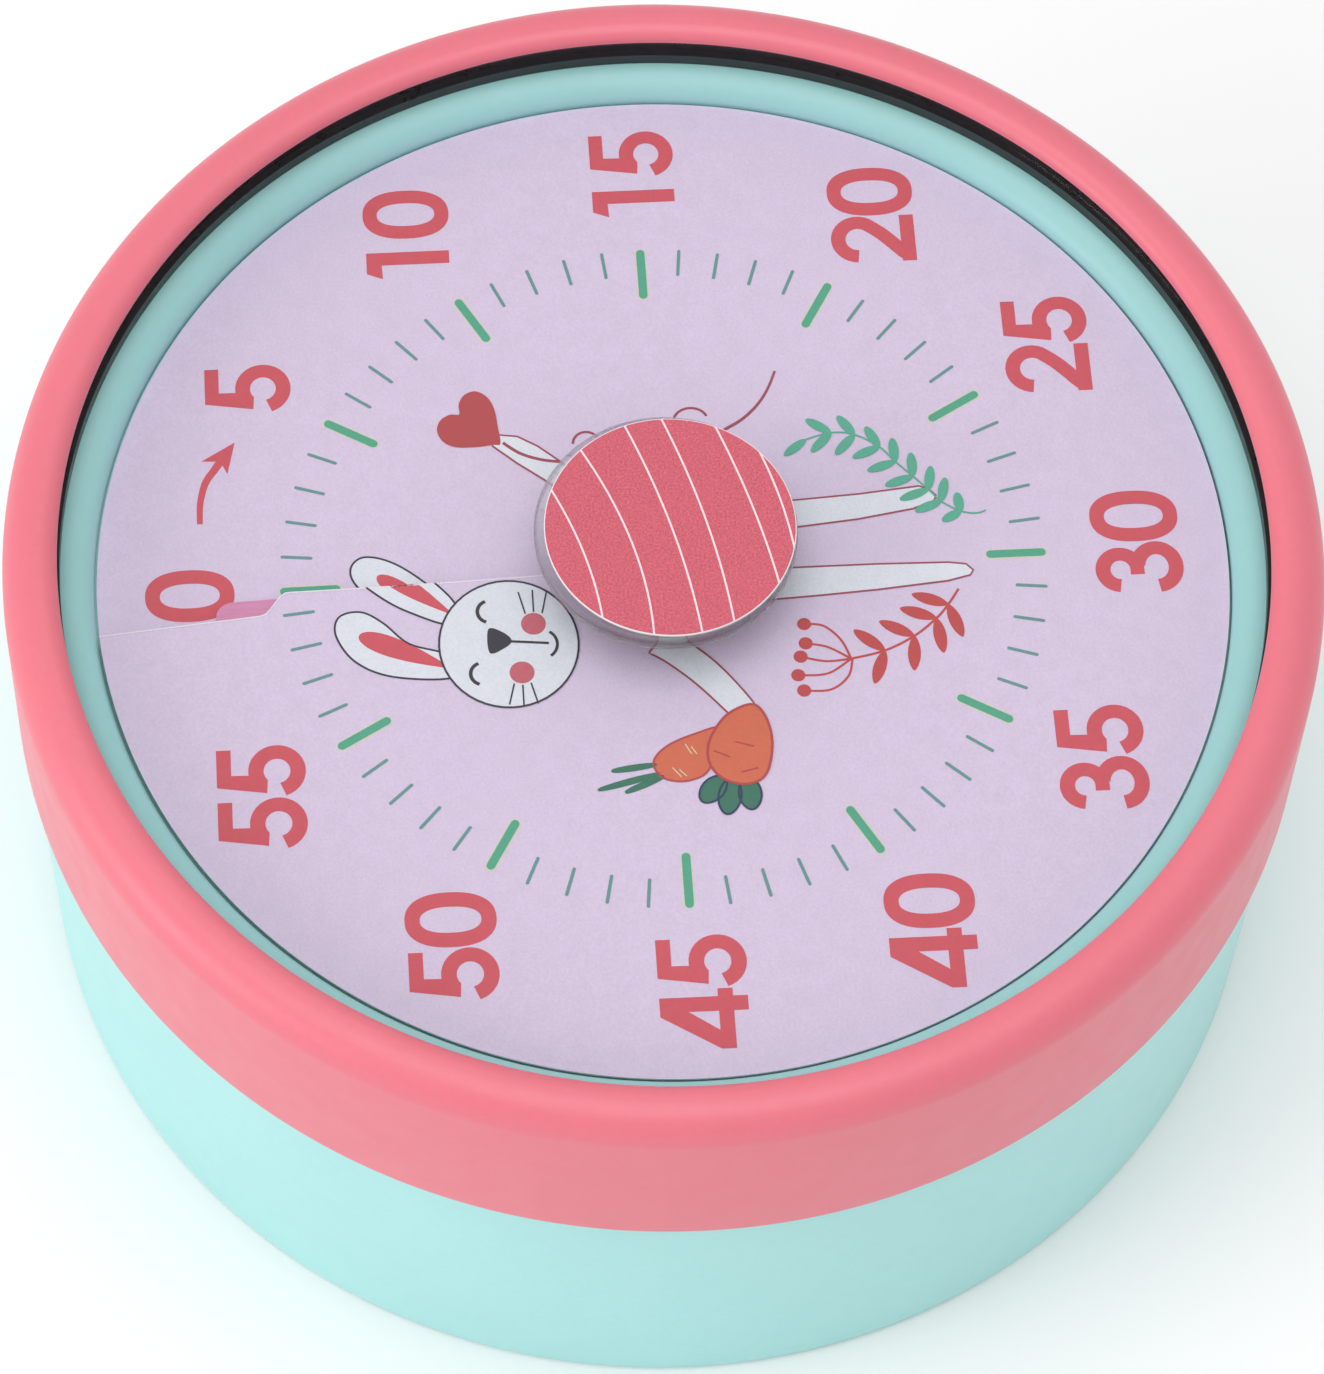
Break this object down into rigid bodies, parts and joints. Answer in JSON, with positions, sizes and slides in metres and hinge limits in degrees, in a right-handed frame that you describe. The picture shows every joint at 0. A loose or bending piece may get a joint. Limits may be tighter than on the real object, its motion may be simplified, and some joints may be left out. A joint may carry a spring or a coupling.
{
  "type": "kitchen timer",
  "caption": "Round wind-up kitchen timer that lies flat: case, bezel, lens, slit paper dial with a rising coloured disc, turning knob, clockwork and bell.",
  "frame": {"origin": "middle of the flat back, which is the face that the timer rests on", "axes": "+Z out of the dial along the knob's axis, +Y to the 0 mark, +X to the 15 mark"},
  "size_m": [0.0788, 0.0788, 0.037],
  "materials": {
    "case_plastic": "satin moulded plastic, mint",
    "bezel_plastic": "satin moulded plastic, coral",
    "clear_lens": "clear polished window",
    "gasket_rubber": "smooth black",
    "printed_paper": "matt lilac paper",
    "disc_film": "smooth pink film",
    "white_plastic": "moulded acetal",
    "clear_plastic": "clear moulded plastic",
    "label_print": "printed label with a fine grain",
    "brass": "rolled brass",
    "steel": "bright steel",
    "dark_steel": "blackened steel",
    "nickel": "nickel plate"
  },
  "bodies": {
    "housing": {"case": "case_plastic", "bezel": "bezel_plastic", "lens": "clear_lens", "lens_gasket": "gasket_rubber", "dial_card": "printed_paper", "rear_cover": "case_plastic", "cover_screws": "steel", "magnets": "nickel", "front_plate": "brass", "rear_plate": "brass", "pillars": "steel", "pillar_screws": "dark_steel", "movement_screws": "dark_steel", "mainspring": "dark_steel", "spring_post": "steel", "hairspring": "dark_steel", "hairspring_stud": "steel", "hammer_stud": "dark_steel", "bell": "nickel", "bell_screw": "dark_steel"},
    "winding_knob": {"knob": "clear_plastic", "knob_label": "label_print", "main_arbor": "steel", "disc_hub": "white_plastic", "great_wheel": "brass", "ratchet_wheel": "steel", "click_screw": "dark_steel", "click_spring": "steel", "alarm_cam": "white_plastic"},
    "colour_disc": {"time_disc": "disc_film"},
    "click": {"click": "steel"},
    "second_mobile": {"second_arbor": "steel", "second_wheel": "brass"},
    "third_mobile": {"third_arbor": "steel", "third_wheel": "brass"},
    "escape_mobile": {"escape_arbor": "steel", "escape_wheel": "brass"},
    "pallet": {"pallet_arbor": "steel", "pallet_lever": "brass"},
    "balance": {"balance_staff": "steel", "balance_wheel": "brass"},
    "hammer": {"hammer_lever": "steel", "hammer_head": "brass"}
  },
  "joints": [
    {"name": "knob_turn", "type": "hinge", "parent": "housing", "child": "winding_knob", "pos_m": [0, 0, 0.03], "axis": [0, 0, -1], "range_deg": [0, 355], "deforming": ["mainspring"]},
    {"name": "disc_rise", "type": "slide", "parent": "winding_knob", "child": "colour_disc", "axis": [0, 0, 1], "range_m": [0, 0.0008876]},
    {"name": "click_pivot", "type": "hinge", "parent": "winding_knob", "child": "click", "pos_m": [-0.00529, 0.00678, 0.0217], "axis": [0, 0, 1], "range_deg": [0, 10], "deforming": ["click_spring"]},
    {"name": "second_turn", "type": "hinge", "parent": "housing", "child": "second_mobile", "pos_m": [-0.01178, 0.0068, 0.0226], "axis": [0, 0, 1], "range_deg": [0, 2663.5]},
    {"name": "third_turn", "type": "hinge", "parent": "housing", "child": "third_mobile", "pos_m": [-0.01998, -0.00082, 0.0252], "axis": [0, 0, -1], "range_deg": [0, 18638.5]},
    {"name": "escape_turn", "type": "hinge", "parent": "housing", "child": "escape_mobile", "pos_m": [-0.01788, -0.00896, 0.02], "axis": [0, 0, 1], "range_deg": [0, 111826]},
    {"name": "pallet_rock", "type": "hinge", "parent": "housing", "child": "pallet", "pos_m": [-0.01379, -0.01583, 0.0186], "axis": [0, 0, 1], "range_deg": [-4, 4]},
    {"name": "balance_swing", "type": "hinge", "parent": "housing", "child": "balance", "pos_m": [-0.00419, -0.02007, 0.015], "axis": [0, 0, 1], "range_deg": [-110, 110], "deforming": ["hairspring"]},
    {"name": "hammer_swing", "type": "hinge", "parent": "housing", "child": "hammer", "pos_m": [0.0141, 0.00513, 0.0098], "axis": [0, 0, -1], "range_deg": [0, 9]}
  ],
  "couplings": [
    {"joint": "disc_rise", "follows": "knob_turn", "m_per_rad": 0.00014324},
    {"joint": "second_turn", "follows": "knob_turn", "ratio": 7.5},
    {"joint": "third_turn", "follows": "knob_turn", "ratio": 52.5},
    {"joint": "escape_turn", "follows": "knob_turn", "ratio": 315}
  ]
}
